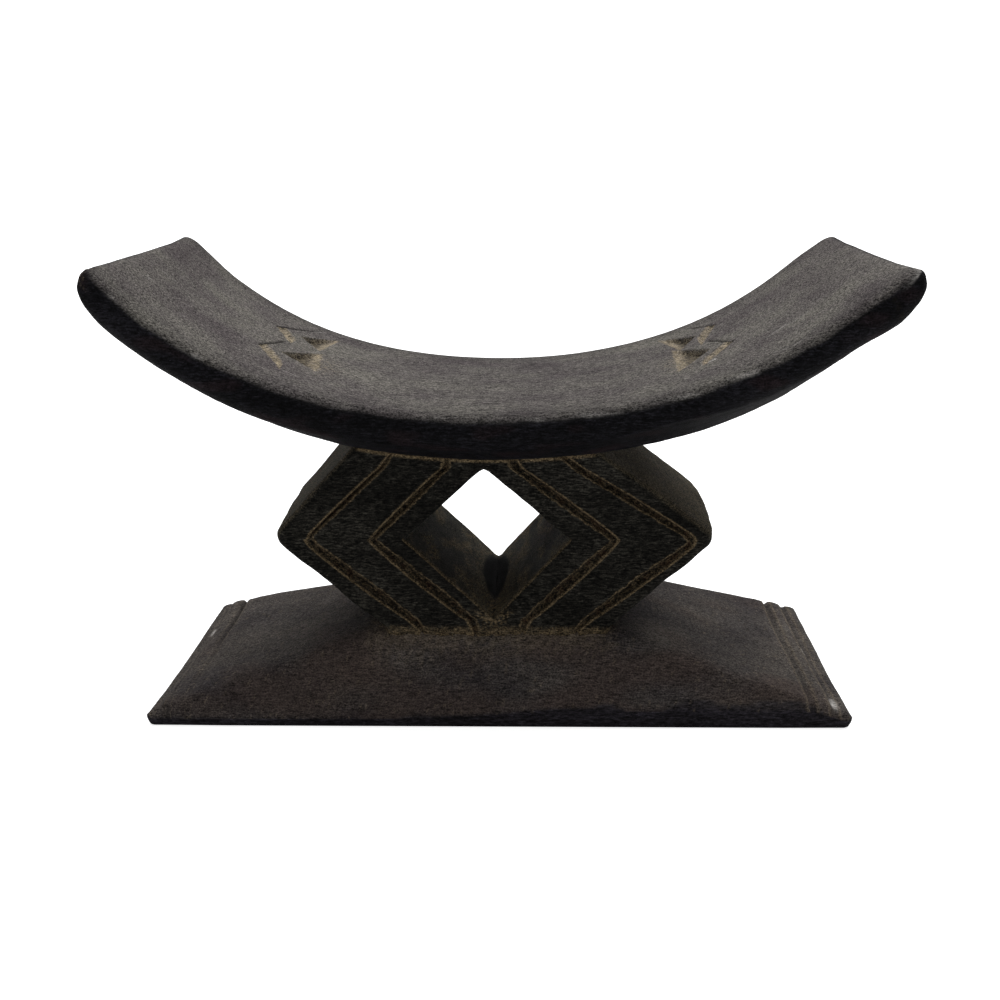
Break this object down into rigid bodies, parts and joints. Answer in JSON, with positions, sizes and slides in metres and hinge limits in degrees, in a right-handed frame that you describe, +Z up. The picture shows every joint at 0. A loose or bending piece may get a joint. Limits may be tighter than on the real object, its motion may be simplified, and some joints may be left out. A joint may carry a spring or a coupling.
{
  "type": "headrest",
  "caption": "Carved wooden headrest: a curved neck rest on an openwork lozenge support above a domed rectangular base.",
  "frame": {"origin": "floor level, under the middle of the overall box", "axes": "+X along the neck rest, +Y from front to back, +Z up"},
  "size_m": [0.2234, 0.0894, 0.1429],
  "materials": {
    "neck_wood": "hand-worn grey-brown patina",
    "support_wood": "near-black carved wood with tan dust in the cuts",
    "base_wood": "dark brown worn wood"
  },
  "bodies": {
    "root": {"neck_rest": "neck_wood", "upper_left_arm": "support_wood", "upper_right_arm": "support_wood", "lower_left_arm": "support_wood", "lower_right_arm": "support_wood", "base": "base_wood"}
  },
  "joints": []
}
